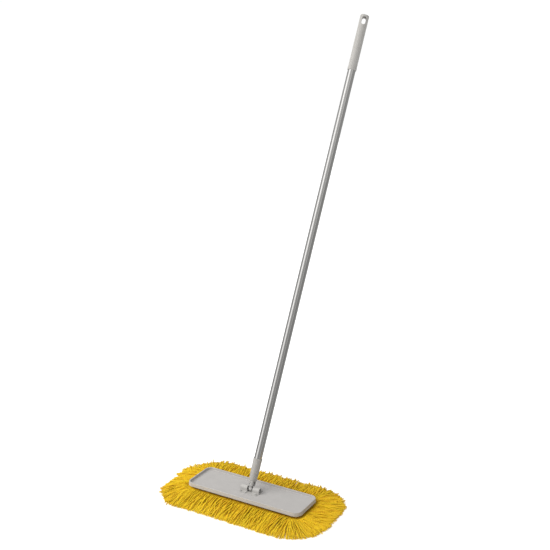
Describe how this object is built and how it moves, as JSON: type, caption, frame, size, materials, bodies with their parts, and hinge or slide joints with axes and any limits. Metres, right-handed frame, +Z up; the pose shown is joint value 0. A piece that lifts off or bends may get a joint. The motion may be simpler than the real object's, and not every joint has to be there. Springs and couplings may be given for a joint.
{
  "type": "flat mop",
  "caption": "Flat dust mop: shallow tray plate on a fringed yarn refill, with a swivel joint and a long metal pole that ends in a grip with a hang hole.",
  "frame": {"origin": "middle of the yarn's underside, on the floor", "axes": "+X along the plate, +Y the side the pole leans towards at rest, +Z up"},
  "size_m": [0.606, 0.6829, 1.5151],
  "materials": {
    "tray_plastic": "moulded, fine matt grain",
    "joint_plastic": "moulded, satin",
    "grip_plastic": "moulded, satin",
    "dark_plastic": "plain",
    "zinc_steel": "zinc plated",
    "tube_metal": "satin, drawn lengthwise",
    "yarn": "twisted yarn",
    "backing_cloth": "canvas weave",
    "loop_tape": "loop pile",
    "hook_tape": "moulded hooks"
  },
  "bodies": {
    "refill": {"yarn_pad": "yarn", "fringe_front": "yarn", "fringe_rear": "yarn", "fringe_left": "yarn", "fringe_right": "yarn", "mop_backing": "backing_cloth", "edge_tape": "backing_cloth", "loop_strip_front": "loop_tape", "loop_strip_rear": "loop_tape"},
    "frame": {"base_plate": "tray_plastic", "hook_strip_front": "hook_tape", "hook_strip_rear": "hook_tape", "swivel_bracket": "joint_plastic", "bracket_screw_1": "zinc_steel", "bracket_screw_2": "zinc_steel", "bracket_screw_3": "zinc_steel", "bracket_screw_4": "zinc_steel", "lean_pin": "zinc_steel", "lean_bush_left": "dark_plastic", "lean_bush_right": "dark_plastic", "lean_pin_cap_left": "dark_plastic", "lean_pin_cap_right": "dark_plastic"},
    "knuckle": {"knuckle": "joint_plastic", "tilt_washer_front": "dark_plastic", "tilt_washer_rear": "dark_plastic"},
    "handle": {"handle_socket": "joint_plastic", "tilt_pin": "zinc_steel", "tilt_pin_cap": "zinc_steel", "socket_screw": "zinc_steel", "pole_tube": "tube_metal", "pole_foot_plug": "dark_plastic", "grip": "grip_plastic"}
  },
  "joints": [
    {"name": "refill_pull_off", "type": "slide", "parent": "refill", "child": "frame", "axis": [0, 0, 1], "range_m": [0, 0.08]},
    {"name": "handle_lean", "type": "hinge", "parent": "frame", "child": "knuckle", "pos_m": [0, 0, 0.029], "axis": [-1, 0, 0], "range_deg": [-93.72, 56.28]},
    {"name": "handle_tilt", "type": "hinge", "parent": "knuckle", "child": "handle", "pos_m": [0, 0.00481, 0.04321], "axis": [0, 0.9471, -0.3209], "range_deg": [-54.88, 45.12]}
  ]
}
